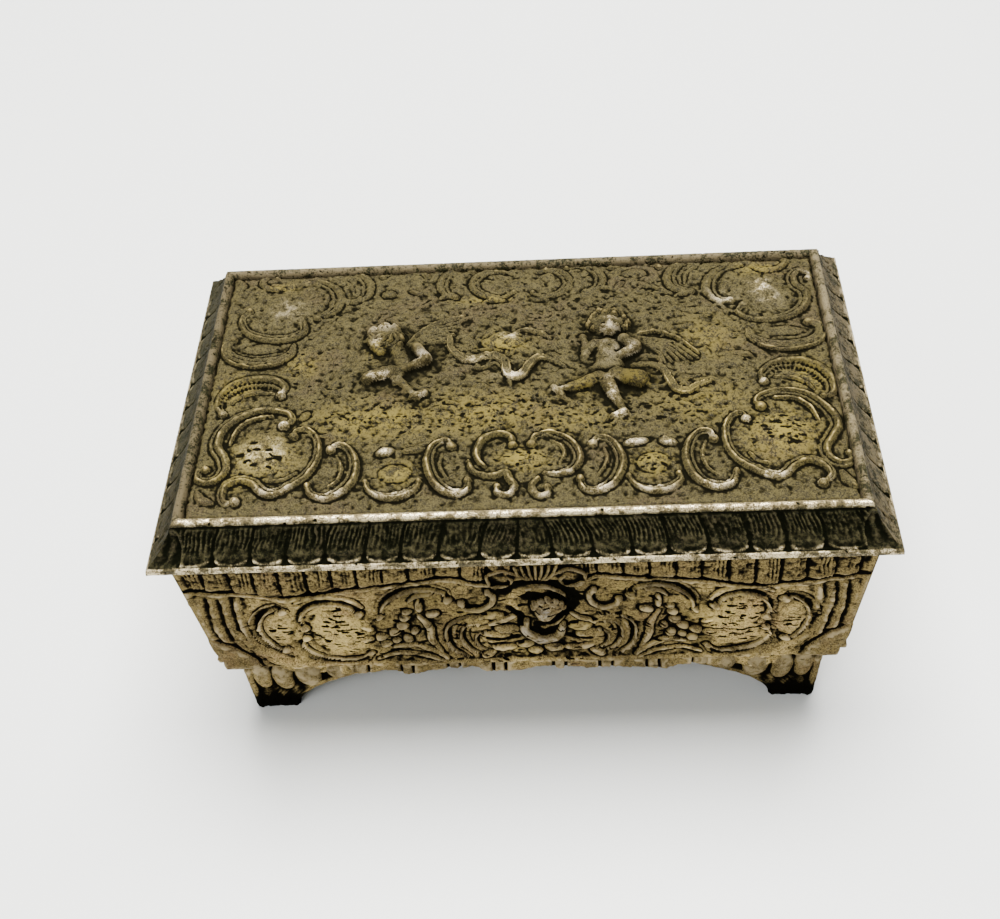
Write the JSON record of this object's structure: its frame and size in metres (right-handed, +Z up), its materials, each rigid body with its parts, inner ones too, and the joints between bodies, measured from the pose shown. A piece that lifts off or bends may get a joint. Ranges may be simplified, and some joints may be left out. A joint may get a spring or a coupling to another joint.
{
  "type": "vanity trinket box",
  "caption": "Cast relief casket on bracket feet with a back-hinged lid, a framed relief plaque on top and a padded lining inside.",
  "frame": {"origin": "on the resting surface, at the middle of the box's rectangle", "axes": "+X to the right as seen from the front, +Y to the hinged back, +Z up; the front faces -Y"},
  "size_m": [0.12, 0.072, 0.0553],
  "materials": {
    "antique_silver": "worn silver plate over cast white metal, warm beige tone, black patina in the hollows",
    "lid_silver": "dark olive patina with bright worn silver on the bead, the rim and the tongues' lips",
    "plaque_gilt": "olive-brown patina with brassy patches and pinkish silver wear on the high relief",
    "base_plate": "dull sheet metal",
    "hinge_brass": "aged brass, worn bright on the knuckles",
    "pin_steel": "dull steel wire",
    "velvet": "faded dark red velvet over card"
  },
  "bodies": {
    "casket": {"front_panel": "antique_silver", "back_panel": "antique_silver", "left_panel": "antique_silver", "right_panel": "antique_silver", "foot_front_left": "antique_silver", "foot_front_right": "antique_silver", "foot_back_left": "antique_silver", "foot_back_right": "antique_silver", "floor_plate": "base_plate", "floor_pad": "velvet", "lining_front": "velvet", "lining_back": "velvet", "lining_left": "velvet", "lining_right": "velvet", "hinge_left_body_leaf": "hinge_brass", "hinge_left_pin": "pin_steel", "hinge_right_body_leaf": "hinge_brass", "hinge_right_pin": "pin_steel"},
    "lid": {"lid_frame": "lid_silver", "lid_plaque": "plaque_gilt", "lid_pad": "velvet", "hinge_left_lid_leaf": "hinge_brass", "hinge_right_lid_leaf": "hinge_brass"}
  },
  "joints": [
    {"name": "lid_hinge", "type": "hinge", "parent": "casket", "child": "lid", "pos_m": [0, 0.03484, 0.0455], "axis": [-1, 0, 0], "range_deg": [0, 105]}
  ]
}
